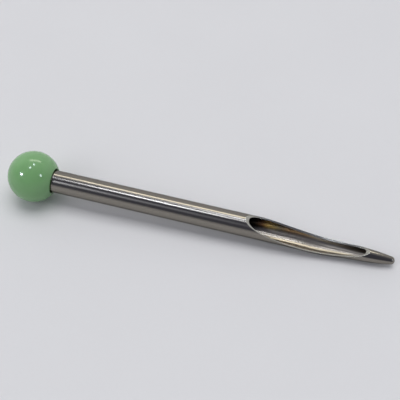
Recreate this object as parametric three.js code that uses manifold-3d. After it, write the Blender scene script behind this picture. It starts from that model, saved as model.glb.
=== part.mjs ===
// Ply splitting needle: a steel tube with a scooped, closed nose, bonded into a ball knob.
// Units are millimetres. The needle is modelled with its axis along X and the ball's centre at x = 0,
// then laid down as it rests on a table: on its ball and on the underside of its scoop.

import * as THREE from 'three';
import { mergeVertices } from 'three/addons/utils/BufferGeometryUtils.js';
import Module from 'manifold-3d';

const wasm = await Module();
wasm.setup();

// Ball knob
const ballDiameter = 20;
const socketDepth = 14; // blind hole, from the ball's mouth to its flat floor
const mouthRound = 0.45; // rounded edge between the socket and the ball's surface

// Tube
const tubeDiameter = 8.8;
const tubeWall = 0.6;
const needleReach = 141.2; // ball centre to the tip

// Nose: a cone with a round tip, closed by solid metal. Lengths of the nose, taper and scoop run back
// from the tip, so that a longer needle gets a longer straight tube.
const noseLength = 11.2; // from the taper's end to the tip
const noseDiameter = 5.45;
const coneLength = 9; // from the cone's start to the tip
const coneBlend = 11.5; // length, half on each side of the cone's start, over which the taper turns into it
const tipRadius = 1.55;
const noseSolid = 5; // metal between the end of the bore and the tip
const boreRound = 6; // length of the bore's rounded end

// Taper: the tube shrinks to the nose while its centre line sinks, so that the underside stays straight
const taperLength = 26.5;
const dropLength = 13.5; // length over which the centre line sinks
const noseDrop = 1.15; // how far the nose's centre lies below the tube's axis
const tipRise = 0.2; // how far the centre line climbs again over the nose

// Scoop, seen from the side: the rim falls from the tube's top, dips below the axis and climbs to the nose
const scoopToTip = 9.7; // from the rim's end to the tip
const scoopClimb = 17.7; // from the rim's lowest point to its end
const scoopFall = 29.6; // from the rim's start to its lowest point
const scoopDip = 1.5; // depth of the rim's lowest point below the tube's axis
const entryAngle = 24; // degrees between the rim and the axis where it leaves the tube's top
const entryHandle = 7; // the four handles set how full the rim's two curves are
const fallHandle = 8.5;
const climbHandle = 5.5;
const exitHandle = 3.5;
const exitAngle = 25; // degrees between the rim and the axis where it reaches the nose's top

// Bond between the tube and the ball
const bondThickness = 0.25;
const bondClearance = 0.05; // on each face of the bond
const bondRecess = 0.9; // the bond stops short of the ball's mouth by this much
const seatGap = 0.3; // between the tube's tail and the socket's floor

// Facets
const roundSides = 64;
const taperStep = 1.5;
const tipRings = 7;
const ballRings = 30;
const mouthRings = 4;
const rimSteps = 22;

const ballRadius = ballDiameter / 2;
const tubeRadius = tubeDiameter / 2;
const noseRadius = noseDiameter / 2;
const tipCentre = needleReach - tipRadius;
const coneStart = needleReach - coneLength;
const noseStart = needleReach - noseLength;
const taperStart = noseStart - taperLength;
const boreEnd = needleReach - noseSolid;
const scoopEnd = needleReach - scoopToTip;
const scoopLowest = scoopEnd - scoopClimb;
const scoopStart = scoopLowest - scoopFall;
const bondInner = tubeRadius + bondClearance;
const bondOuter = bondInner + bondThickness;
const socketRadius = bondOuter + bondClearance;

// The mouth's rounded edge is an arc that touches the socket's wall and the ball's surface.
const mouthCentreRadius = socketRadius + mouthRound;
const mouthX = Math.sqrt((ballRadius - mouthRound) ** 2 - mouthCentreRadius ** 2);
const socketFloorX = mouthX - socketDepth;
const tubeTailX = socketFloorX + seatGap;

// Smooth step from 0 to 1 with level ends, half a cosine wave.
function ease(t) {
  const clamped = THREE.MathUtils.clamp(t, 0, 1);
  return (1 - Math.cos(Math.PI * clamped)) / 2;
}

// Length along the cone: zero before the blend, a parabola through it and a straight line after it.
function coneRamp(x) {
  const blendStart = coneStart - coneBlend / 2;
  const intoBlend = THREE.MathUtils.clamp(x - blendStart, 0, coneBlend);
  const pastBlend = Math.max(0, x - blendStart - coneBlend);
  return intoBlend ** 2 / (2 * coneBlend) + pastBlend;
}

// Centre and radius of the tube's outer section at a place along the axis.
function outerSection(x) {
  const drop = noseDrop * ease((x - taperStart) / dropLength);
  const centre = tipRise * ease((x - noseStart) / noseLength) - drop;
  const body = THREE.MathUtils.lerp(tubeRadius, noseRadius, ease((x - taperStart) / taperLength));
  const slope = (noseRadius - tipRadius) / coneRamp(tipCentre);
  const cone = body - slope * coneRamp(x);
  const intoTip = Math.max(0, x - tipCentre);
  const cap = Math.sqrt(Math.max(0, tipRadius ** 2 - intoTip ** 2));
  return { centre, radius: x > tipCentre ? Math.min(cone, cap) : cone };
}

// The bore keeps the wall's thickness and closes in a round end inside the nose.
function boreSection(x) {
  const { centre, radius } = outerSection(x);
  const intoEnd = Math.max(0, (x - (boreEnd - boreRound)) / boreRound);
  return { centre, radius: (radius - tubeWall) * Math.sqrt(Math.max(0, 1 - intoEnd ** 2)) };
}

// Places of the rings along the needle: few where it is straight, evenly spaced over the taper,
// and closer towards the round end.
function ringPlaces(start, roundStart, end) {
  const places = [start];
  const count = Math.ceil((roundStart - taperStart) / taperStep);
  for (let i = 0; i <= count; i++) {
    places.push(THREE.MathUtils.lerp(taperStart, roundStart, i / count));
  }
  for (let i = 1; i <= tipRings; i++) {
    places.push(THREE.MathUtils.lerp(roundStart, end, Math.sin((Math.PI / 2) * (i / tipRings))));
  }
  return places;
}

// Closed solid through round rings that stand across the X axis; the last ring is a point.
function loftAlongAxis(places, sectionAt) {
  const positions = [];
  const index = [];
  const last = places.length - 1;
  for (let i = 0; i < last; i++) {
    const { centre, radius } = sectionAt(places[i]);
    for (let j = 0; j < roundSides; j++) {
      const angle = (2 * Math.PI * j) / roundSides;
      positions.push(places[i], radius * Math.sin(angle), centre + radius * Math.cos(angle));
    }
  }
  const tail = positions.length / 3;
  positions.push(places[0], 0, sectionAt(places[0]).centre);
  positions.push(places[last], 0, sectionAt(places[last]).centre);
  for (let j = 0; j < roundSides; j++) {
    const next = (j + 1) % roundSides;
    index.push(tail, j, next);
    for (let i = 0; i < last - 1; i++) {
      const near = i * roundSides;
      const far = near + roundSides;
      index.push(near + j, far + j, far + next, near + j, far + next, near + next);
    }
    const tipRing = (last - 1) * roundSides;
    index.push(tipRing + j, tail + 1, tipRing + next);
  }
  const geometry = new THREE.BufferGeometry();
  geometry.setAttribute('position', new THREE.Float32BufferAttribute(positions, 3));
  geometry.setIndex(index);
  return geometry;
}

// Solid that takes away everything above the rim's side line, as a cut across the tube would.
function scoopCutter() {
  const reachPast = 2 * tubeRadius;
  const entrySlope = Math.tan(THREE.MathUtils.degToRad(entryAngle));
  const exitSlope = Math.tan(THREE.MathUtils.degToRad(exitAngle));
  const nose = outerSection(scoopEnd);
  const noseTop = nose.centre + nose.radius;
  const outline = new THREE.Shape();
  outline.moveTo(scoopStart - tubeRadius, tubeRadius + reachPast);
  outline.lineTo(scoopStart - tubeRadius, tubeRadius + tubeRadius * entrySlope);
  outline.lineTo(scoopStart, tubeRadius);
  outline.bezierCurveTo(
    scoopStart + entryHandle, tubeRadius - entryHandle * entrySlope,
    scoopLowest - fallHandle, -scoopDip,
    scoopLowest, -scoopDip,
  );
  outline.bezierCurveTo(
    scoopLowest + climbHandle, -scoopDip,
    scoopEnd - exitHandle, noseTop - exitHandle * exitSlope,
    scoopEnd, noseTop,
  );
  outline.lineTo(scoopEnd + tubeRadius, noseTop + tubeRadius * exitSlope);
  outline.lineTo(scoopEnd + tubeRadius, tubeRadius + reachPast);
  const geometry = new THREE.ExtrudeGeometry(outline, {
    depth: 2 * reachPast,
    bevelEnabled: false,
    curveSegments: rimSteps,
  });
  geometry.translate(0, 0, -reachPast);
  geometry.rotateX(Math.PI / 2);
  return geometry;
}

function toManifold(geometry) {
  const bare = geometry.clone();
  bare.deleteAttribute('normal');
  bare.deleteAttribute('uv');
  const merged = mergeVertices(bare);
  return new wasm.Manifold(new wasm.Mesh({
    numProp: 3,
    vertProperties: new Float32Array(merged.attributes.position.array),
    triVerts: new Uint32Array(merged.index.array),
  }));
}

function toGeometry(manifold) {
  const mesh = manifold.getMesh();
  const geometry = new THREE.BufferGeometry();
  geometry.setAttribute('position', new THREE.BufferAttribute(new Float32Array(mesh.vertProperties), 3));
  geometry.setIndex(new THREE.BufferAttribute(new Uint32Array(mesh.triVerts), 1));
  const faceted = geometry.toNonIndexed();
  faceted.computeVertexNormals();
  return faceted;
}

// Tube with its bore, scoop, taper and closed nose. The bore's cutter runs out past the tube's tail.
function needleTubeGeometry() {
  const outerPlaces = ringPlaces(tubeTailX, tipCentre, needleReach);
  const borePlaces = ringPlaces(tubeTailX - tubeRadius, boreEnd - boreRound, boreEnd);
  const outer = toManifold(loftAlongAxis(outerPlaces, outerSection));
  const bore = toManifold(loftAlongAxis(borePlaces, boreSection));
  return toGeometry(outer.subtract(bore).subtract(toManifold(scoopCutter())));
}

// Turns a profile of (distance from the axis, place along the axis) round the X axis.
function turnedAboutX(profile) {
  const geometry = new THREE.LatheGeometry(profile, roundSides);
  geometry.rotateZ(-Math.PI / 2);
  return geometry;
}

function arcPoints(centreRadius, centreX, radius, fromAngle, toAngle, count) {
  const points = [];
  for (let i = 0; i <= count; i++) {
    const angle = THREE.MathUtils.lerp(fromAngle, toAngle, i / count);
    points.push(new THREE.Vector2(
      centreRadius + radius * Math.sin(angle),
      centreX + radius * Math.cos(angle),
    ));
  }
  return points;
}

// Ball with a blind, flat-floored socket and a rounded mouth.
function ballKnobGeometry() {
  const touch = Math.atan2(mouthCentreRadius, mouthX);
  const surface = arcPoints(0, 0, ballRadius, Math.PI, touch, ballRings);
  surface[0].x = 0;
  const mouth = arcPoints(mouthCentreRadius, mouthX, mouthRound, touch, -Math.PI / 2, mouthRings);
  return turnedAboutX([
    ...surface,
    ...mouth.slice(1),
    new THREE.Vector2(socketRadius, socketFloorX),
    new THREE.Vector2(0, socketFloorX),
  ]);
}

// Thin sleeve of cured adhesive that fills the ring between the tube and the socket.
function bondSleeveGeometry() {
  const front = mouthX - bondRecess;
  return turnedAboutX([
    new THREE.Vector2(bondInner, tubeTailX),
    new THREE.Vector2(bondOuter, tubeTailX),
    new THREE.Vector2(bondOuter, front),
    new THREE.Vector2(bondInner, front),
    new THREE.Vector2(bondInner, tubeTailX),
  ]);
}

// The rest angle is the smallest turn that brings the underside down to the table
// while the ball stays on it.
function restAngle() {
  let angle = Math.PI / 2;
  for (const x of ringPlaces(tubeTailX, tipCentre, needleReach).slice(1)) {
    const { centre, radius } = outerSection(x);
    const underside = radius - centre;
    const turn = Math.asin(ballRadius / Math.hypot(x, underside)) - Math.atan2(underside, x);
    angle = Math.min(angle, turn);
  }
  return angle;
}

function makePiece(name, geometry, colour, roughness, metalness) {
  const material = new THREE.MeshStandardMaterial({ color: colour, roughness, metalness });
  const mesh = new THREE.Mesh(geometry, material);
  mesh.name = name;
  return mesh;
}

const needle = new THREE.Group();
needle.add(makePiece('ball_knob', ballKnobGeometry(), 0x7fb98a, 0.16, 0));
needle.add(makePiece('needle_tube', needleTubeGeometry(), 0xa3a19c, 0.3, 1));
needle.add(makePiece('bond_sleeve', bondSleeveGeometry(), 0x3a3a36, 0.6, 0));

// Laid on the table: turned tip down about the ball's centre, with the middle of its length over the origin.
const lean = restAngle();
const tipX = needleReach * Math.cos(lean) + outerSection(needleReach).centre * Math.sin(lean);
needle.rotation.y = lean;
needle.position.set((ballRadius - tipX) / 2, 0, ballRadius);

const group = new THREE.Group();
group.add(needle);

export default group;
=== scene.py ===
"""Ply splitting needle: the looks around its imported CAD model.

A ground stainless tube with a scooped, closed nose is bonded into a mint ball knob, and lies on a pale board.
Lengths are in millimetres in the needle's own frame, with its axis along X and the ball's centre at x = 0,
and one transform lays it down in the row frame, in metres.
"""

import math
from types import SimpleNamespace

import bpy
import numpy as np
from mathutils import Euler, Matrix, Vector


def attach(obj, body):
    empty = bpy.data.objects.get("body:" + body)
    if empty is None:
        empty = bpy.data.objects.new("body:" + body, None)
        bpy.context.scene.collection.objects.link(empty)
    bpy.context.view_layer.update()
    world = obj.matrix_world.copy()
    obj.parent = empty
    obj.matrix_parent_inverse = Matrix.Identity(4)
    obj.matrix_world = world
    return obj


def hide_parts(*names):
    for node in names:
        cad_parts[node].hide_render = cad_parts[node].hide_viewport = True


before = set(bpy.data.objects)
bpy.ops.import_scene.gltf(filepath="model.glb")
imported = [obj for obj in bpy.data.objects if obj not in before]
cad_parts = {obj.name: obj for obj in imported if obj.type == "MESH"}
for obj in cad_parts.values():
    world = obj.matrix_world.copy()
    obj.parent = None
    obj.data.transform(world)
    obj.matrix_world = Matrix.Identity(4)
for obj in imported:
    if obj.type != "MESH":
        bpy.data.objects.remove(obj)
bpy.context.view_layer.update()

bl_info = {
    "name": "Ply splitting needle",
    "version": (1, 0, 0),
    "blender": (4, 5, 0),
    "location": "3D View > Sidebar > Needle",
    "description": "Builds a ply splitting needle, its finishes and its stage around the packed model",
    "category": "Object",
}

MM = 0.001
BODY = "root"

# Facets of the meshes
ROUND_SIDES = 112  # round the tube and the ball
BALL_RINGS = 72
MOUTH_RINGS = 8
SOCKET_RINGS = 12
MENISCUS_POINTS = 9
RIM_STATIONS = 200  # along one side of the scoop's rim
STRAIGHT_STEP = 3.0  # mm between rings along the straight tube
TAPER_STEP = 0.4
TIP_RINGS = 14
ROUND_END_SHARE = 0.6  # the part of the bore's rounded end that has its rings close together
BEVEL_STEPS = 4
FLAT_STEPS = 3
JOIN_DIGITS = 5  # points that agree to this many decimals of a millimetre become one

# Samples of the curves, and the steps in mm over which slopes are taken
OUTLINE_SAMPLES = 1500  # of each of the rim's two curves
REST_START, REST_SAMPLES = 0.5, 4000  # of the underside, from this far along the axis, in mm
SECTION_STEP = 0.01
TANGENT_STEP = 0.02

# The texture map, whose first axis runs along the needle and whose second runs round it
MAP_LENGTH = 150  # mm along the needle for the map's whole width
MAP_MARGIN = 0.1
RIM_MAP_START, RIM_MAP_WIDTH = 0.5, 0.004
TAIL_MAP_WIDTH = 0.02

NOISE_LOW, NOISE_HIGH = 0.3, 0.7  # most of a noise texture lies between these

# Heat tint on the bore's far wall, by its place along the needle, in mm from the ball's centre. These colours
# are darker than the bore's own, so they also paint a reflection of the dark room on the far wall, and the
# grey stops from 112 mm on are only that painted reflection. The near-black first stop is painted shade deep
# in the bore.
TINTS_AND_REFLECTION = (
    (86.0, "#3A3230"), (90.5, "#6A4E3E"), (92.8, "#A49060"), (95.5, "#968A68"),
    (97.5, "#6E6A5E"), (100.5, "#84705A"), (107.0, "#847460"), (112.0, "#8A8680"), (124.0, "#706C68"),
)
PAINTED_SHADE = "#3A3836"  # near-black painted shade deep in the bore and at its closed nose
# Where the painted shade begins and is full, along the needle
SHADE_INWARDS, SHADE_IN_NOSE = (92.0, 86.0), (117.0, 130.0)
# Where the tints with their painted reflection and the nose's painted shade begin and are full, in mm from
# the middle plane of the straight tube
TINTS_AND_REFLECTION_SIDEWAYS, SHADE_SIDEWAYS = (2.2, 3.2), (2.0, 3.6)


# Colours

def linear(hex_colour):
    """Linear colour with alpha from an sRGB hex value."""
    channels = [int(hex_colour[i:i + 2], 16) / 255 for i in (1, 3, 5)]
    return tuple(c / 12.92 if c <= 0.04045 else ((c + 0.055) / 1.055) ** 2.4 for c in channels) + (1.0,)


# Settings

def length(name, description, millimetres):
    """A length in the scene's own unit, the metre, from its default in millimetres."""
    return bpy.props.FloatProperty(
        name=name, description=description, default=millimetres * MM, min=0, precision=5, subtype="DISTANCE",
    )


def brightness(name, description, radiance):
    return bpy.props.FloatProperty(
        name=name, description=description, default=radiance, min=0, subtype="FACTOR",
    )


def finish_colour(name, description, hex_colour):
    return bpy.props.FloatVectorProperty(
        name=name, description=description, default=linear(hex_colour),
        subtype="COLOR", size=4, min=0, max=1,
    )


class NeedleSizes(bpy.types.PropertyGroup):
    """Sizes of the needle."""

    ball_diameter: length("Ball diameter", "Diameter of the ball knob", 20.0)
    socket_depth: length("Socket depth", "Depth of the blind hole in the ball", 14.0)
    mouth_round: length("Mouth round", "Radius of the edge round the ball's socket", 0.45)
    tube_diameter: length("Tube diameter", "Outside diameter of the straight tube", 8.8)
    tube_wall: length("Wall", "Thickness of the tube's wall", 0.6)
    needle_reach: length("Reach", "From the ball's centre to the tip", 141.2)
    nose_length: length("Nose", "From the taper's end to the tip", 11.2)
    nose_diameter: length("Nose diameter", "Diameter that the taper shrinks to", 5.45)
    cone_length: length("Cone", "From the cone's start to the tip", 9.0)
    cone_blend: length("Cone blend", "Length over which the taper turns into the cone", 11.5)
    tip_radius: length("Tip radius", "Radius of the round tip", 1.55)
    nose_solid: length("Solid nose", "Metal between the bore's end and the tip", 5.0)
    bore_round: length("Bore end", "Length of the bore's rounded end", 6.0)
    taper_length: length("Taper", "Length of the taper", 26.5)
    drop_length: length("Drop length", "Length over which the centre line sinks", 13.5)
    nose_drop: length("Nose drop", "How far the nose lies below the tube's axis", 1.15)
    tip_rise: length("Tip rise", "How far the centre line climbs again over the nose", 0.2)
    scoop_to_tip: length("Scoop to tip", "From the rim's end to the tip", 9.7)
    scoop_climb: length("Scoop climb", "From the rim's lowest point to its end", 17.7)
    scoop_fall: length("Scoop fall", "From the rim's start to its lowest point", 29.6)
    scoop_dip: length("Scoop dip", "Depth of the rim below the tube's axis", 1.5)
    rim_fall: length("Rim fall", "How far the rim's face falls inwards along the sides", 0.28)
    rim_round: length("Rim round", "Radius of the rim's outer edge", 0.05)
    rim_inner_round: length("Rim inner round", "Radius of the rim's inner edge", 0.1)
    bond_recess: length("Bond recess", "The bond stops short of the ball's mouth by this", 0.9)
    seat_gap: length("Seat gap", "Between the tube's tail and the socket's floor", 0.3)
    bond_gap: length("Bond gap", "Between the tube and the socket's wall", 0.35)


class FinishColours(bpy.types.PropertyGroup):
    """Colours of the needle and its stage."""

    ball: finish_colour("Ball", "Mint green of the moulded ball", "#76A46E")
    steel: finish_colour("Steel", "Ground stainless steel of the tube", "#8A857D")
    bore: finish_colour("Bore", "Stainless steel inside the tube", "#A0978A")
    rim: finish_colour("Rim", "Freshly cut steel of the scoop's rim", "#B2B0A8")
    bond: finish_colour("Bond", "Cured adhesive between the tube and the ball", "#23231F")
    board: finish_colour("Board", "Pale board under the needle", "#D7D7D8")


class StageSettings(bpy.types.PropertyGroup):
    """Light round the needle, as the brightness of each lamp beside a white surface in full light."""

    soft: brightness("Soft lamp", "Brightness of the large soft lamp overhead", 3.2)
    window: brightness("Window", "Brightness of the window in front, to the left", 2.35)
    strip: brightness("Strip", "Brightness of the long warm strip behind the needle", 4.3)
    bulbs: brightness("Bulbs", "Brightness of the four small lamps", 42.0)
    room: brightness("Room", "Brightness of the room's pale wall", 0.75)


# The needle's form, in its own frame

ENTRY_ANGLE = 24  # degrees between the rim and the axis where it leaves the tube's top
EXIT_ANGLE = 25  # and where it reaches the nose's top
ENTRY_HANDLE, FALL_HANDLE, CLIMB_HANDLE, EXIT_HANDLE = 7.0, 8.5, 5.5, 3.5  # mm
BOND_HOLLOW = 0.2  # mm; the wet adhesive crept up both walls and cured with a hollow front
BOND_CLEARANCE = 0.01  # mm between the adhesive and either wall


def sizes():
    """The needle's sizes, in millimetres."""
    group = bpy.context.scene.needle_sizes
    return SimpleNamespace(**{name: getattr(group, name) / MM for name in NeedleSizes.__annotations__})


def ease(t):
    """Smooth step from 0 to 1 with level ends, half a cosine wave."""
    return (1 - np.cos(np.pi * np.clip(t, 0, 1))) / 2


def cone_ramp(x, start, blend):
    """Length along the cone: zero before the blend, a parabola through it and a straight line after it."""
    into = np.clip(x - (start - blend / 2), 0, blend)
    past = np.maximum(0, x - (start + blend / 2))
    return into ** 2 / (2 * blend) + past


def taper_ends():
    """Where the taper starts, and where it ends and the nose starts, along the axis."""
    s = sizes()
    nose_start = s.needle_reach - s.nose_length
    return nose_start - s.taper_length, nose_start


def outer_section(x):
    """Centre height and radius of the tube's outside at a place along the axis."""
    s = sizes()
    taper_start, nose_start = taper_ends()
    tip_centre = s.needle_reach - s.tip_radius
    cone_start = s.needle_reach - s.cone_length
    drop = s.nose_drop * ease((x - taper_start) / s.drop_length)
    centre = s.tip_rise * ease((x - nose_start) / s.nose_length) - drop
    tube_radius, nose_radius = s.tube_diameter / 2, s.nose_diameter / 2
    body = tube_radius + (nose_radius - tube_radius) * ease((x - taper_start) / s.taper_length)
    slope = (nose_radius - s.tip_radius) / cone_ramp(tip_centre, cone_start, s.cone_blend)
    cone = body - slope * cone_ramp(x, cone_start, s.cone_blend)
    cap = np.sqrt(np.maximum(0, s.tip_radius ** 2 - np.maximum(0, x - tip_centre) ** 2))
    return centre, np.where(x > tip_centre, np.minimum(cone, cap), cone)


def bore_section(x):
    """The bore keeps the wall's thickness and closes in a round end inside the nose."""
    s = sizes()
    bore_end = s.needle_reach - s.nose_solid
    centre, radius = outer_section(x)
    into = np.clip((x - (bore_end - s.bore_round)) / s.bore_round, 0, 1)
    return centre, (radius - s.tube_wall) * np.sqrt(1 - into ** 2)


def wall_points(section, x, theta, inward):
    """Points and normals of a round wall.

    Theta is measured from the top, and the normals face out of the metal.
    """
    centre, radius = section(x)
    centre_on, radius_on = section(x + SECTION_STEP)
    centre_back, radius_back = section(x - SECTION_STEP)
    d_centre = (centre_on - centre_back) / (2 * SECTION_STEP)
    d_radius = (radius_on - radius_back) / (2 * SECTION_STEP)
    points = np.stack([x + 0 * theta, radius * np.sin(theta), centre + radius * np.cos(theta)], -1)
    normals = np.stack([-(d_radius + d_centre * np.cos(theta)), np.sin(theta), np.cos(theta)], -1)
    normals /= np.linalg.norm(normals, axis=-1, keepdims=True)
    return points, -normals if inward else normals


def bezier(p0, p1, p2, p3, t):
    t = t[:, None]
    p0, p1, p2, p3 = (np.array(p, float) for p in (p0, p1, p2, p3))
    return (1 - t) ** 3 * p0 + 3 * t * (1 - t) ** 2 * p1 + 3 * t ** 2 * (1 - t) * p2 + t ** 3 * p3


def rim_outline():
    """The scoop's rim seen from the side, as closely spaced points (x, z) from its start to its end."""
    s = sizes()
    end = s.needle_reach - s.scoop_to_tip
    lowest = end - s.scoop_climb
    start = lowest - s.scoop_fall
    centre, radius = outer_section(np.array(end))
    nose_top = float(centre + radius)
    top = s.tube_diameter / 2
    entry = math.tan(math.radians(ENTRY_ANGLE))
    leave = math.tan(math.radians(EXIT_ANGLE))
    # The samples crowd towards the ends, where the rim runs across the tube.
    t = (1 - np.cos(np.linspace(0, np.pi / 2, OUTLINE_SAMPLES)))
    fall = bezier(
        (start, top), (start + ENTRY_HANDLE, top - ENTRY_HANDLE * entry),
        (lowest - FALL_HANDLE, -s.scoop_dip), (lowest, -s.scoop_dip), t,
    )
    climb = bezier(
        (lowest, -s.scoop_dip), (lowest + CLIMB_HANDLE, -s.scoop_dip),
        (end - EXIT_HANDLE, nose_top - EXIT_HANDLE * leave), (end, nose_top), 1 - t[::-1],
    )
    return np.concatenate([fall, climb[1:]])


def rim_edge(section, outline):
    """Where the cut meets one wall, on the side of +Y.

    Gives points that crowd towards both ends, and their tangents.
    """
    centre, radius = section(outline[:, 0])
    above = (outline[:, 1] - centre) / np.maximum(radius, 1e-6)
    inside = np.flatnonzero(above < 1)
    first, last = inside[0], inside[-1]

    def crossing(i, j):
        """Point of the outline between samples i and j where it meets the wall's top."""
        share = (1 - above[i]) / (above[j] - above[i])
        return outline[i] + share * (outline[j] - outline[i])

    line = outline[first:last + 1]
    if first > 0:
        line = np.vstack([crossing(first - 1, first), line])
    if last < len(outline) - 1:
        line = np.vstack([line, crossing(last, last + 1)])
    centre, radius = section(line[:, 0])
    y = np.sqrt(np.maximum(0, radius ** 2 - (line[:, 1] - centre) ** 2))
    y[0] = y[-1] = 0
    points = np.stack([line[:, 0], y, line[:, 1]], -1)
    travelled = np.concatenate([[0], np.cumsum(np.linalg.norm(np.diff(points, axis=0), axis=1))])
    even = np.linspace(0, 1, RIM_STATIONS + 1)
    at = (even + ease(even)) / 2 * travelled[-1]
    behind, spread, ahead = (
        np.stack([np.interp(place, travelled, points[:, k]) for k in range(3)], -1)
        for place in (at - TANGENT_STEP, at, at + TANGENT_STEP)
    )
    tangents = ahead - behind
    tangents[0], tangents[-1] = (0, 1, 0), (0, -1, 0)
    tangents /= np.linalg.norm(tangents, axis=1, keepdims=True)
    return spread, tangents


def unit(vectors):
    return vectors / np.maximum(np.linalg.norm(vectors, axis=-1, keepdims=True), 1e-12)


def towards(vectors, goal):
    """Each vector, turned round where it points away from the goal."""
    sign = np.sign(np.sum(vectors * goal, axis=-1, keepdims=True))
    return vectors * np.where(sign == 0, 1, sign)


def broken_edge(section, edge, tangents, cut_normals, across, inward, size):
    """The rounded edge between a wall and the cut face, from the wall to the face."""
    theta = np.arctan2(edge[:, 1], edge[:, 2] - section(edge[:, 0])[0])
    wall_normals = wall_points(section, edge[:, 0], theta, inward)[1]
    down_wall = towards(unit(np.cross(wall_normals, tangents)), -cut_normals)
    along_face = towards(unit(np.cross(cut_normals, tangents)), across)
    wall_end = edge + size * down_wall
    face_end = edge + size * along_face
    wall_theta = np.arctan2(np.maximum(wall_end[:, 1], 0), wall_end[:, 2] - section(wall_end[:, 0])[0])
    wall_theta[0] = wall_theta[-1] = 0
    wall_end, wall_normals = wall_points(section, wall_end[:, 0], wall_theta, inward)
    points, normals = [], []
    for i in range(BEVEL_STEPS + 1):
        t = i / BEVEL_STEPS
        points.append((1 - t) ** 2 * wall_end + 2 * t * (1 - t) * edge + t ** 2 * face_end)
        normals.append(unit((1 - t) * wall_normals + t * cut_normals))
    return np.array(points), np.array(normals), wall_theta


# Meshes

def ball_centre():
    """The ball rests on the board, and the middle of the needle's length is over the origin."""
    s = sizes()
    lean = rest_angle()
    ball_radius = s.ball_diameter / 2
    tip_height = float(outer_section(np.array(s.needle_reach))[0])
    tip_x = s.needle_reach * math.cos(lean) + tip_height * math.sin(lean)
    return Vector(((ball_radius - tip_x) / 2, 0, ball_radius)) * MM


def laid_down():
    """Transform from the needle's own frame, in millimetres, to the row frame, in metres."""
    turn = Euler((0, rest_angle(), 0)).to_matrix().to_4x4()
    return Matrix.Translation(ball_centre()) @ turn @ Matrix.Scale(MM, 4)


def rest_angle():
    """Smallest turn that brings the underside down to the board while the ball stays on it."""
    s = sizes()
    x = np.linspace(REST_START, s.needle_reach - s.tip_radius, REST_SAMPLES)
    centre, radius = outer_section(x)
    underside = radius - centre
    ball_radius = s.ball_diameter / 2
    turn = np.arcsin(ball_radius / np.hypot(x, underside).clip(ball_radius)) - np.arctan2(underside, x)
    return float(turn[x > ball_radius * 2].min())


class Surface:
    """Collects grids of points with their normals and map places, and joins what coincides."""

    def __init__(self):
        self.points, self.normals, self.places = [], [], []
        self.faces, self.finishes = [], []
        self.count = 0

    def grid(self, points, normals, places, finish, flip=False):
        """A grid of quads; the first axis runs along the needle and the second round it."""
        rows, columns = points.shape[:2]
        index = self.count + np.arange(rows * columns).reshape(rows, columns)
        quads = np.stack([index[:-1, :-1], index[1:, :-1], index[1:, 1:], index[:-1, 1:]], -1).reshape(-1, 4)
        self.faces.append(quads[:, ::-1] if flip else quads)
        self.finishes.append(np.full(len(quads), finish))
        self.points.append(points.reshape(-1, 3))
        self.normals.append(normals.reshape(-1, 3))
        self.places.append(places.reshape(-1, 2))
        self.count += rows * columns

    def to_object(self, name, materials):
        points, normals, places = (np.concatenate(a) for a in (self.points, self.normals, self.places))
        keys, first, joined = np.unique(
            np.round(points, JOIN_DIGITS) + 0.0, axis=0, return_index=True, return_inverse=True,
        )
        joined = joined.ravel()
        faces, corners, finishes = [], [], []
        for quad, finish in zip(np.concatenate(self.faces), np.concatenate(self.finishes)):
            kept = [c for i, c in enumerate(quad) if joined[c] != joined[quad[i - 1]]]
            if len({joined[c] for c in kept}) >= 3:
                faces.append([int(joined[c]) for c in kept])
                corners.extend(kept)
                finishes.append(finish)
        transform = laid_down()
        turn = np.array(transform.to_3x3().normalized())
        at = points[first] @ (turn * MM).T + np.array(transform.translation)
        mesh = bpy.data.meshes.new(name)
        mesh.from_pydata(at.tolist(), [], faces)
        uv = mesh.uv_layers.new(name="along_and_round")
        uv.uv.foreach_set("vector", places[corners].astype(np.float32).ravel())
        mesh.polygons.foreach_set("material_index", np.array(finishes, np.int32))
        mesh.shade_smooth()
        mesh.normals_split_custom_set_from_vertices((normals[first] @ turn.T).tolist())
        for material in materials:
            mesh.materials.append(material)
        mesh.update()
        made = bpy.data.objects.new(name, mesh)
        bpy.context.scene.collection.objects.link(made)
        return made


def place_on_map(x, theta):
    return np.stack([x / MAP_LENGTH + MAP_MARGIN + 0 * theta, theta / (2 * np.pi) + 0 * x], -1)


def wall_grid(surface, section, x, opening, inward, finish):
    """A wall between rings. Opening is the angle from the top at which each ring starts and ends."""
    share = np.linspace(0, 1, ROUND_SIDES + 1)[None, :]
    theta = opening[:, None] + (2 * np.pi - 2 * opening[:, None]) * share
    x_grid = x[:, None] + 0 * theta
    points, normals = wall_points(section, x_grid, theta, inward)
    closed = opening < 1e-9
    points[closed, -1] = points[closed, 0]
    surface.grid(points, normals, place_on_map(x_grid, theta), finish, flip=inward)


def ring_places(start, end, round_start):
    """Places of closed rings, at a regular step and then closer and closer through the round end."""
    step = STRAIGHT_STEP if end < taper_ends()[0] else TAPER_STEP
    if round_start is None:
        return np.linspace(start, end, max(2, math.ceil((end - start) / step) + 1))
    plain = np.linspace(start, round_start, max(2, math.ceil((round_start - start) / step) + 1))
    turns = np.sin(np.pi / 2 * np.arange(1, TIP_RINGS + 1) / TIP_RINGS)
    return np.concatenate([plain, round_start + (end - round_start) * turns])


OUTSIDE, RIM, BORE = range(3)


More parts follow.
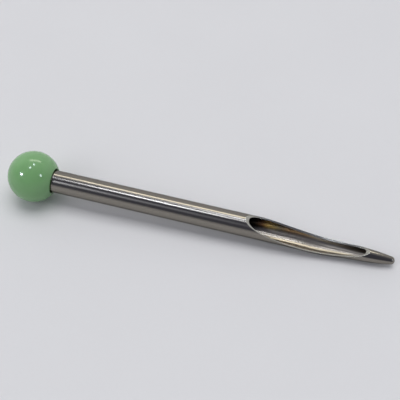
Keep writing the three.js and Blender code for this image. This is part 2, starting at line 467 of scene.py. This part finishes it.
def tube_surface():
    """The tube's outside, its bore and the scoop's rim as one closed shell."""
    s = sizes()
    surface = Surface()
    outline = rim_outline()
    outer_edge, outer_tangents = rim_edge(outer_section, outline)
    bore_edge, bore_tangents = rim_edge(bore_section, outline)
    centre, radius = bore_section(bore_edge[:, 0])
    bore_edge[:, 2] -= s.rim_fall * bore_edge[:, 1] / radius
    bore_edge[:, 1] = np.sqrt(np.maximum(0, radius ** 2 - (bore_edge[:, 2] - centre) ** 2))
    bore_edge[[0, -1], 1] = 0
    across = bore_edge - outer_edge
    face_normals = towards(unit(np.cross(outer_tangents, across)), np.array([0, 0, 1]))
    outer_bevel, outer_normals, outer_open = broken_edge(
        outer_section, outer_edge, outer_tangents, face_normals, across, False, s.rim_round,
    )
    bore_bevel, bore_normals, bore_open = broken_edge(
        bore_section, bore_edge, bore_tangents, face_normals, -across, True, s.rim_inner_round,
    )
    shares = np.arange(1, FLAT_STEPS)[:, None, None] / FLAT_STEPS
    face = (1 - shares) * outer_bevel[-1] + shares * bore_bevel[-1]
    rim = np.concatenate([outer_bevel, face, bore_bevel[::-1]]).transpose(1, 0, 2)
    rim_normals = np.concatenate([
        outer_normals, np.broadcast_to(face_normals, face.shape), bore_normals[::-1],
    ]).transpose(1, 0, 2)
    along = np.concatenate([[0], np.cumsum(np.linalg.norm(np.diff(outer_edge, axis=0), axis=1))])
    rim_places = np.stack(np.broadcast_arrays(
        along[:, None] / MAP_LENGTH, RIM_MAP_START + np.linspace(0, RIM_MAP_WIDTH, rim.shape[1])[None, :],
    ), -1)
    mirrored = np.array([1, -1, 1])
    surface.grid(rim, rim_normals, rim_places, RIM, flip=True)
    surface.grid(rim * mirrored, rim_normals * mirrored, rim_places, RIM)

    tail = tube_tail()
    tip = s.needle_reach
    bore_end = tip - s.nose_solid
    outer_x, bore_x = outer_bevel[0][:, 0], bore_bevel[0][:, 0]
    wall_grid(surface, outer_section, outer_x, outer_open, False, OUTSIDE)
    wall_grid(surface, bore_section, bore_x, bore_open, True, BORE)
    for section, start, end, round_start, inward, finish in (
        (outer_section, tail, outer_x[0], None, False, OUTSIDE),
        (outer_section, outer_x[-1], tip, tip - s.tip_radius, False, OUTSIDE),
        (bore_section, tail, bore_x[0], None, True, BORE),
        (bore_section, bore_x[-1], bore_end, bore_end - s.bore_round * ROUND_END_SHARE, True, BORE),
    ):
        rings = ring_places(start, end, round_start)
        wall_grid(surface, section, rings, np.zeros(len(rings)), inward, finish)

    theta = np.linspace(0, 2 * np.pi, ROUND_SIDES + 1)
    tail_rings = [
        wall_points(section, np.full_like(theta, tail), theta, False)[0]
        for section in (bore_section, outer_section)
    ]
    for ring in tail_rings:
        ring[-1] = ring[0]
    facing = np.broadcast_to(np.array([-1.0, 0, 0]), (2, len(theta), 3))
    places = np.stack([
        np.stack([0 * theta + across_map, theta / (2 * np.pi)], -1) for across_map in (0, TAIL_MAP_WIDTH)
    ])
    surface.grid(np.array(tail_rings), facing, places, OUTSIDE)
    return surface


def socket_radius():
    s = sizes()
    return s.tube_diameter / 2 + s.bond_gap


def mouth_x():
    """Where the centre of the mouth's rounded edge lies along the axis."""
    s = sizes()
    return math.sqrt((s.ball_diameter / 2 - s.mouth_round) ** 2 - (socket_radius() + s.mouth_round) ** 2)


def tube_tail():
    s = sizes()
    return mouth_x() - s.socket_depth + s.seat_gap


def turned(profile, name, materials, sharp_degrees=35):
    """A body turned round the needle's axis from points (distance from the axis, place along the axis)."""
    profile = np.array(profile, float)
    theta = np.linspace(0, 2 * np.pi, ROUND_SIDES + 1)
    ring = np.stack([0 * theta, np.sin(theta), np.cos(theta)], -1)
    ring[-1] = ring[0]
    points = profile[:, 0, None, None] * ring[None] + profile[:, 1, None, None] * np.array([1, 0, 0])
    travelled = np.concatenate([[0], np.cumsum(np.linalg.norm(np.diff(profile, axis=0), axis=1))])
    places = np.stack(np.broadcast_arrays(
        travelled[:, None] / MAP_LENGTH, (theta / (2 * np.pi))[None, :],
    ), -1)
    surface = Surface()
    surface.grid(points, np.broadcast_to(ring[None], points.shape), places, 0)
    made = surface.to_object(name, materials)
    made.data.attributes.remove(made.data.attributes["custom_normal"])
    made.data.shade_smooth()
    made.data.set_sharp_from_angle(angle=math.radians(sharp_degrees))
    return made


def arc(centre_radius, centre_x, radius, start, end, steps):
    """Profile points of a circle, by the angle from the axis."""
    angles = np.linspace(start, end, steps + 1)
    return [(centre_radius + radius * math.sin(a), centre_x + radius * math.cos(a)) for a in angles]


# Materials

def node(tree, kind, inputs=None, **settings):
    """Adds a node: settings are its own, and inputs are values or the sockets that feed them."""
    made = tree.nodes.new(kind)
    for key, value in settings.items():
        setattr(made, key, value)
    for key, value in (inputs or {}).items():
        if isinstance(value, bpy.types.NodeSocket):
            tree.links.new(value, made.inputs[key])
        else:
            made.inputs[key].default_value = value
    return made


def needle_millimetres(tree):
    """Coordinates in the needle's own frame, in millimetres: x along it, y and z across it."""
    return node(tree, "ShaderNodeMapping", {
        "Vector": node(tree, "ShaderNodeTexCoord").outputs["Object"],
        "Location": ball_centre(),
        "Rotation": (0, rest_angle(), 0),
        "Scale": (MM, MM, MM),
    }, vector_type="TEXTURE").outputs[0]


def worked_surface(name, colour, marks, clouds, tones, roughness, bump, change=None, **shader_inputs):
    """A material with fine marks from its making and faint clouds from handling.

    Marks and clouds are the lengths of their features along x, y and z, in mm. Tones say how far each
    lightens and darkens the colour, roughness runs from the marks' low to their high places, and bump is
    the marks' depth in mm. The colour is plain, or a function that paints it from the place on the needle.
    A change is (start, end, factor): between two places along the needle, in mm, the roughness is
    multiplied by a number that goes from 1 to that factor.
    """
    material = bpy.data.materials.new(name)
    material.use_nodes = True
    tree = material.node_tree
    tree.nodes.clear()
    at = needle_millimetres(tree)
    patterns, lights = [], []
    for feature, tone in zip((marks, clouds), tones):
        scaled = node(tree, "ShaderNodeMapping", {"Vector": at, "Scale": tuple(1 / size for size in feature)})
        noise = node(tree, "ShaderNodeTexNoise", {"Vector": scaled.outputs[0], "Scale": 1.0, "Detail": 3.0})
        patterns.append(noise.outputs["Fac"])
        lights.append(node(tree, "ShaderNodeMapRange", {
            "Value": noise.outputs["Fac"], "From Min": NOISE_LOW, "From Max": NOISE_HIGH,
            "To Min": 1 - tone, "To Max": 1 + tone,
        }).outputs[0])
    light = node(tree, "ShaderNodeMath", {0: lights[0], 1: lights[1]}, operation="MULTIPLY").outputs[0]
    painted = colour(tree, at) if callable(colour) else tuple(colour)[:3]
    rough = node(tree, "ShaderNodeMapRange", {
        "Value": patterns[0], "From Min": NOISE_LOW, "From Max": NOISE_HIGH,
        "To Min": roughness[0], "To Max": roughness[1],
    }).outputs[0]
    if change:
        start, end, factor = change
        grown = node(tree, "ShaderNodeMapRange", {
            "Value": node(tree, "ShaderNodeSeparateXYZ", {0: at}).outputs["X"],
            "From Min": start, "From Max": end, "To Min": 1.0, "To Max": factor,
        }, interpolation_type="SMOOTHSTEP").outputs[0]
        rough = node(tree, "ShaderNodeMath", {0: rough, 1: grown}, operation="MULTIPLY").outputs[0]
    toned = node(tree, "ShaderNodeVectorMath", {0: painted, 1: light}, operation="MULTIPLY").outputs[0]
    shader = node(tree, "ShaderNodeBsdfPrincipled", {
        "Base Color": toned,
        "Roughness": rough,
        "Normal": node(tree, "ShaderNodeBump", {
            "Height": patterns[0], "Strength": 1.0, "Distance": bump * MM,
        }).outputs[0],
        **shader_inputs,
    })
    if shader.inputs["Anisotropic"].default_value:
        tangent = node(tree, "ShaderNodeTangent", direction_type="UV_MAP", uv_map="along_and_round")
        tree.links.new(tangent.outputs[0], shader.inputs["Tangent"])
    node(tree, "ShaderNodeOutputMaterial", {"Surface": shader.outputs[0]})
    return material


def ground_stainless():
    # Stainless steel tube, centreless ground: fine grooves run round it, so a lamp's reflection is
    # narrow across the tube and drawn out along it, and the metal between reflections looks dark.
    # The grooves shade one another towards the outline, which the darker edge tint gives, and the
    # nose was polished after it was closed, so it mirrors more sharply.
    # Grit grooves are about 0.03 mm apart, too fine to show, so they are drawn 0.5 mm apart.
    return worked_surface(
        "ground_stainless", bpy.context.scene.finish_colours.steel,
        marks=(0.5, 9, 9), clouds=(18, 6, 6), tones=(0.03, 0.015),
        roughness=(0.203, 0.211), bump=0.00002, change=(120, 130, 0.65), Metallic=1.0, Anisotropic=0.70,
        **{"Specular Tint": linear("#C4C4C4")},
    )


def bore_colour(tree, at):
    """Heat tints on the far wall, from grinding the scoop open, which also hold a painted reflection of the
    dark room that darkens that wall, and near-black painted shade at the bore's two ends.
    """
    s = sizes()
    taper_start, nose_start = taper_ends()
    narrowest = (s.nose_diameter / 2 - s.tube_wall) / (s.tube_diameter / 2 - s.tube_wall)
    place = node(tree, "ShaderNodeSeparateXYZ", {0: at})
    first, last = TINTS_AND_REFLECTION[0][0], TINTS_AND_REFLECTION[-1][0]
    # The last two masks place painted shade deep in the bore and at its closed nose.
    along, narrowed, deep_shade, nose_shade_along = (
        node(tree, "ShaderNodeMapRange", {
            "Value": place.outputs["X"], "From Min": start, "From Max": end,
            "To Min": before, "To Max": after,
        }, interpolation_type=blend).outputs[0]
        for start, end, before, after, blend in (
            (first, last, 0.0, 1.0, "LINEAR"), (taper_start, nose_start, 1.0, narrowest, "SMOOTHSTEP"),
            (*SHADE_INWARDS, 0.0, 1.0, "SMOOTHSTEP"), (*SHADE_IN_NOSE, 0.0, 1.0, "SMOOTHSTEP"),
        )
    )
    sideways = node(
        tree, "ShaderNodeMath", {0: place.outputs["Y"], 1: narrowed}, operation="DIVIDE",
    ).outputs[0]
    upper, side = (
        node(tree, "ShaderNodeMapRange", {
            "Value": sideways, "From Min": start, "From Max": end,
        }, interpolation_type="SMOOTHSTEP").outputs[0]
        for start, end in (TINTS_AND_REFLECTION_SIDEWAYS, SHADE_SIDEWAYS)
    )
    ramp = node(tree, "ShaderNodeValToRGB", {"Fac": along})
    stops = ramp.color_ramp.elements
    for x, _ in TINTS_AND_REFLECTION[1:-1]:
        stops.new((x - first) / (last - first))
    for stop, (x, hex_colour) in zip(stops, TINTS_AND_REFLECTION):
        stop.position = (x - first) / (last - first)
        stop.color = linear(hex_colour)
    plain = tuple(bpy.context.scene.finish_colours.bore)
    # The far wall's tints also carry a painted reflection of the dark room.
    tinted_and_reflecting = node(tree, "ShaderNodeMix", {"Factor": upper, 6: plain, 7: ramp.outputs[0]}, data_type="RGBA")
    # Painted shade: the bore is painted near black deep inside and at its closed nose.
    closed = node(tree, "ShaderNodeMath", {0: nose_shade_along, 1: side}, operation="MULTIPLY").outputs[0]
    shade_share = node(tree, "ShaderNodeMath", {0: closed, 1: deep_shade}, operation="MAXIMUM").outputs[0]
    return node(tree, "ShaderNodeMix", {
        "Factor": shade_share, 6: tinted_and_reflecting.outputs[2], 7: linear(PAINTED_SHADE),
    }, data_type="RGBA").outputs[2]


def drawn_bore():
    # Its colour also paints the far wall darker, as a painted reflection of the dark room, and paints
    # near-black shade deep in the bore and at its closed nose.
    # Inside of a drawn stainless tube, with drawing lines along it: the lamps behind show as one broad
    # bright band along the scoop's floor, and the walls beside it are dark. Where the tube was swaged
    # narrower the metal is duller, so the band grows wider there.
    # Drawing lines are about 0.05 mm apart, drawn 0.5 mm apart so that they show.
    return worked_surface(
        "drawn_bore_stainless", bore_colour,
        marks=(30, 0.5, 0.5), clouds=(6, 2, 2), tones=(0.06, 0.05),
        roughness=(0.25, 0.29), bump=0.0002, change=(104, 122, 1.3), Metallic=1.0, Anisotropic=0.6,
    )


def cut_rim():
    # The rim is cut, stoned flat and its edges broken: clean pale metal with a soft, even gloss.
    # Stoning marks run across the rim, drawn 0.5 mm apart.
    return worked_surface(
        "stoned_rim_stainless", bpy.context.scene.finish_colours.rim,
        marks=(0.5, 2, 2), clouds=(8, 3, 3), tones=(0.02, 0.03),
        roughness=(0.20, 0.24), bump=0.0001, Metallic=1.0,
    )


def moulded_ball():
    # Moulded and tumble-polished thermoset ball, coloured right through: an even, opaque mint green with
    # a hard gloss. Its surface waves by 0.003 mm over 2 mm, so lamps mirror with soft edges.
    return worked_surface(
        "polished_mint_thermoset", bpy.context.scene.finish_colours.ball,
        marks=(2.2, 2.2, 2.2), clouds=(6, 6, 6), tones=(0.01, 0.02),
        roughness=(0.10, 0.13), bump=0.0028, IOR=1.5,
    )


def cured_bond():
    # Cured black anaerobic adhesive: dark, slightly glossy, with dust caught in it.
    return worked_surface(
        "cured_black_adhesive", bpy.context.scene.finish_colours.bond,
        marks=(0.6, 0.6, 0.6), clouds=(2, 2, 2), tones=(0.3, 0.1),
        roughness=(0.35, 0.6), bump=0.004, IOR=1.5,
    )


def laminated_board():
    # Matt melamine-faced board: an even pale grey with a fine pebbled texture, about 1 mm, and a faint sheen.
    return worked_surface(
        "matt_melamine_board", bpy.context.scene.finish_colours.board,
        marks=(1.1, 1.1, 1.1), clouds=(55, 55, 55), tones=(0.004, 0.008),
        roughness=(0.66, 0.74), bump=0.002, **{"Specular IOR Level": 0.2},
    )


# Pieces

def settle(piece, slot, *nodes):
    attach(piece, BODY)
    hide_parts(*nodes)


class NEEDLE_OT_tube(bpy.types.Operator):
    """Build the ground steel tube with its scoop, taper and closed nose"""

    bl_idname = "needle.tube"
    bl_label = "Ground tube"

    def execute(self, context):
        tube = tube_surface().to_object("scooped_tube", [ground_stainless(), cut_rim(), drawn_bore()])
        settle(tube, "ground_steel", "needle_tube")
        return {"FINISHED"}


class NEEDLE_OT_ball(bpy.types.Operator):
    """Build the ball knob with its socket and rounded mouth"""

    bl_idname = "needle.ball"
    bl_label = "Ball knob"

    def execute(self, context):
        s = sizes()
        radius = s.ball_diameter / 2
        mouth_radius = socket_radius() + s.mouth_round
        touch = math.atan2(mouth_radius, mouth_x())
        surface = arc(0, 0, radius, math.pi, touch, BALL_RINGS)
        surface[0] = (0, -radius)
        mouth = arc(mouth_radius, mouth_x(), s.mouth_round, touch, -math.pi / 2, MOUTH_RINGS)[1:]
        floor_x = mouth_x() - s.socket_depth
        walls = [(socket_radius(), x) for x in np.linspace(mouth_x(), floor_x, SOCKET_RINGS)[1:]]
        profile = surface + mouth + walls + [(0, floor_x)]
        ball = turned(profile, "mint_ball_knob", [moulded_ball()])
        settle(ball, "mint_ball", "ball_knob")
        return {"FINISHED"}


class NEEDLE_OT_bond(bpy.types.Operator):
    """Build the ring of cured adhesive between the tube and the ball"""

    bl_idname = "needle.bond"
    bl_label = "Bond"

    def execute(self, context):
        s = sizes()
        inner, outer = s.tube_diameter / 2 + BOND_CLEARANCE, socket_radius() - BOND_CLEARANCE
        front = mouth_x() - s.bond_recess
        middle, half = (inner + outer) / 2, (outer - inner) / 2
        meniscus = [
            (middle + half * math.cos(a), front - BOND_HOLLOW * math.sin(a))
            for a in np.linspace(0, math.pi, MENISCUS_POINTS)
        ]
        profile = [(inner, tube_tail()), (outer, tube_tail()), *meniscus, (inner, tube_tail())]
        bond = turned(profile, "bond_ring", [cured_bond()])
        settle(bond, "cured_bond", "bond_sleeve")
        return {"FINISHED"}


# Stage

LAMP_DISTANCE = 3.0  # metres from the ball
SOFT_LAMP = (0.0, 0.17, 0.985)  # its direction from the ball
SOFT_LAMP_SIZE = (3.0, 1.9)
WINDOW, WINDOW_SIZE = (-0.55, -0.55, 0.63), (1.8, 1.8)  # a pale window in front, which fills in the shadows
# Directions of the four small lamps from the ball, and their shares of the bulbs' brightness.
BULBS = (
    ("bulb_front_left", (-0.574, -0.500, 0.648), 3.0),
    ("bulb_overhead", (-0.100, -0.020, 0.995), 0.5),
    ("bulb_overhead_back", (0.070, 0.300, 0.951), 0.42),
    ("bulb_right", (0.750, -0.240, 0.616), 0.6),
)
BULB_DIAMETER = 0.42
# Directions of the strip's two ends.
STRIP_LEFT, STRIP_RIGHT = Vector((-0.35, 0.485, 0.800)), Vector((0.34, 0.665, 0.664))
STRIP_HEIGHT = 0.55
LAMP_WHITE, STRIP_WHITE, BULB_WHITE = "#FFFFFF", "#FFFCEE", "#E8F0FF"
BOARD_HALF = 2.0

ROOM_DARK, ROOM_PALE = "#6A6C7D", "#F6F7FA"
# How pale the room is along an axis: the axis, where the change starts and ends, and the values there.
ROOM_BEHIND = ("Y", -0.25, 0.45, 0.0, 1.0)
ROOM_CEILING = ("Z", 0.55, 0.80, 1.0, 0.5)
ROOM_LOW = ("Z", 0.08, 0.34, 0.8, 0.0)

LENS, SENSOR = 67.5, 36.0  # mm
CAMERA_AZIMUTH, CAMERA_ELEVATION = 14.187, 52.415  # degrees
CAMERA_DISTANCE = 0.277634
CAMERA_TARGET = (0.001296, 0, 0.016191)


def aimed(direction, distance, target, along=None):
    """Place and turn of something that looks at the target from a direction.

    Its own X is level, or lies along the given line.
    """
    away = Vector(direction).normalized()
    if along is None:
        return Vector(target) + away * distance, (-away).to_track_quat("-Z", "Y").to_euler()
    across = away.cross(along).normalized()
    turn = Matrix((across.cross(away), across, away)).transposed()
    return Vector(target) + away * distance, turn.to_euler()


def area_lamp(name, direction, size, radiance, hex_colour, mirrored, along=None):
    """A flat lamp. Size is its width and height, or a disc's diameter.

    A mirrored lamp shows only in glossy surfaces, and any other one lights the colours and casts shadows.
    """
    data = bpy.data.lights.new(name, "AREA")
    if isinstance(size, tuple):
        data.shape, data.size, data.size_y = "RECTANGLE", *size
        area = size[0] * size[1]
    else:
        data.shape, data.size = "DISK", size
        area = math.pi * size ** 2 / 4
    data.energy = radiance * math.pi * area
    data.color = linear(hex_colour)[:3]
    lamp = bpy.data.objects.new(name, data)
    lamp.location, lamp.rotation_euler = aimed(direction, LAMP_DISTANCE, ball_centre(), along)
    lamp.visible_glossy = mirrored
    lamp.visible_diffuse = not mirrored
    bpy.context.scene.collection.objects.link(lamp)


def room_world(strength):
    """A plain room: a pale wall behind the needle and low down all round, darker above and in front."""
    world = bpy.data.worlds.new("plain_room")
    world.use_nodes = True
    tree = world.node_tree
    tree.nodes.clear()
    direction = node(tree, "ShaderNodeTexCoord").outputs["Generated"]
    split = node(tree, "ShaderNodeSeparateXYZ", {0: direction})
    behind, ceiling, low = (
        node(tree, "ShaderNodeMapRange", {
            "Value": split.outputs[axis], "From Min": start, "From Max": end, "To Min": first, "To Max": last,
        }, interpolation_type="SMOOTHSTEP").outputs[0]
        for axis, start, end, first, last in (ROOM_BEHIND, ROOM_CEILING, ROOM_LOW)
    )
    wall = node(tree, "ShaderNodeMath", {0: behind, 1: ceiling}, operation="MULTIPLY").outputs[0]
    pale = node(tree, "ShaderNodeMath", {0: wall, 1: low}, operation="MAXIMUM").outputs[0]
    room = node(tree, "ShaderNodeMix", {
        "Factor": pale, 6: linear(ROOM_DARK), 7: linear(ROOM_PALE),
    }, data_type="RGBA").outputs[2]
    seen_by_things = node(tree, "ShaderNodeBackground", {"Color": room, "Strength": strength})
    backdrop = node(tree, "ShaderNodeBackground", {
        "Color": bpy.context.scene.finish_colours.board, "Strength": 1.0,
    })
    background = node(tree, "ShaderNodeMixShader", {
        0: node(tree, "ShaderNodeLightPath").outputs["Is Camera Ray"],
        1: seen_by_things.outputs[0], 2: backdrop.outputs[0],
    })
    node(tree, "ShaderNodeOutputWorld", {"Surface": background.outputs[0]})
    return world


class NEEDLE_OT_stage(bpy.types.Operator):
    """Set up the board, the lamps, the room and the camera"""

    bl_idname = "needle.stage"
    bl_label = "Stage"

    def execute(self, context):
        scene = context.scene
        settings = scene.stage_settings
        h = BOARD_HALF
        mesh = bpy.data.meshes.new("board")
        mesh.from_pydata([(-h, -h, 0), (h, -h, 0), (h, h, 0), (-h, h, 0)], [], [(0, 1, 2, 3)])
        mesh.materials.append(laminated_board())
        board = bpy.data.objects.new("board", mesh)
        scene.collection.objects.link(board)

        area_lamp("soft_lamp", SOFT_LAMP, SOFT_LAMP_SIZE, settings.soft, LAMP_WHITE, mirrored=False)
        area_lamp("window", WINDOW, WINDOW_SIZE, settings.window, LAMP_WHITE, mirrored=False)
        strip_along = STRIP_RIGHT - STRIP_LEFT
        strip_size = (LAMP_DISTANCE * strip_along.length, STRIP_HEIGHT)
        area_lamp(
            "strip", STRIP_LEFT + STRIP_RIGHT, strip_size, settings.strip, STRIP_WHITE, mirrored=True,
            along=strip_along,
        )
        for name, direction, share in BULBS:
            area_lamp(name, direction, BULB_DIAMETER, settings.bulbs * share, BULB_WHITE, mirrored=True)
        scene.world = room_world(settings.room)

        camera_data = bpy.data.cameras.new("camera")
        camera_data.lens, camera_data.sensor_width = LENS, SENSOR
        camera = bpy.data.objects.new("camera", camera_data)
        azimuth, elevation = math.radians(CAMERA_AZIMUTH), math.radians(CAMERA_ELEVATION)
        direction = (
            math.sin(azimuth) * math.cos(elevation),
            -math.cos(azimuth) * math.cos(elevation),
            math.sin(elevation),
        )
        camera.location, camera.rotation_euler = aimed(direction, CAMERA_DISTANCE, CAMERA_TARGET)
        scene.collection.objects.link(camera)
        scene.camera = camera
        scene.view_settings.view_transform = "Standard"
        return {"FINISHED"}


class NEEDLE_PT_panel(bpy.types.Panel):
    """The needle's builders and settings"""

    bl_idname = "NEEDLE_PT_panel"
    bl_label = "Ply splitting needle"
    bl_space_type = "VIEW_3D"
    bl_region_type = "UI"
    bl_category = "Needle"

    def draw(self, context):
        for operator in OPERATORS:
            self.layout.operator(operator.bl_idname)
        for group in (context.scene.needle_sizes, context.scene.finish_colours, context.scene.stage_settings):
            box = self.layout.box()
            for name in group.__annotations__:
                box.prop(group, name)


OPERATORS = (NEEDLE_OT_tube, NEEDLE_OT_ball, NEEDLE_OT_bond, NEEDLE_OT_stage)
CLASSES = (NeedleSizes, FinishColours, StageSettings, *OPERATORS, NEEDLE_PT_panel)


def register():
    for cls in CLASSES:
        bpy.utils.register_class(cls)
    bpy.types.Scene.needle_sizes = bpy.props.PointerProperty(type=NeedleSizes)
    bpy.types.Scene.finish_colours = bpy.props.PointerProperty(type=FinishColours)
    bpy.types.Scene.stage_settings = bpy.props.PointerProperty(type=StageSettings)


def unregister():
    del bpy.types.Scene.stage_settings
    del bpy.types.Scene.finish_colours
    del bpy.types.Scene.needle_sizes
    for cls in reversed(CLASSES):
        bpy.utils.unregister_class(cls)


def main():
    register()
    bpy.ops.needle.tube()
    bpy.ops.needle.ball()
    bpy.ops.needle.bond()
    bpy.ops.needle.stage()


if __name__ == "__main__":
    main()
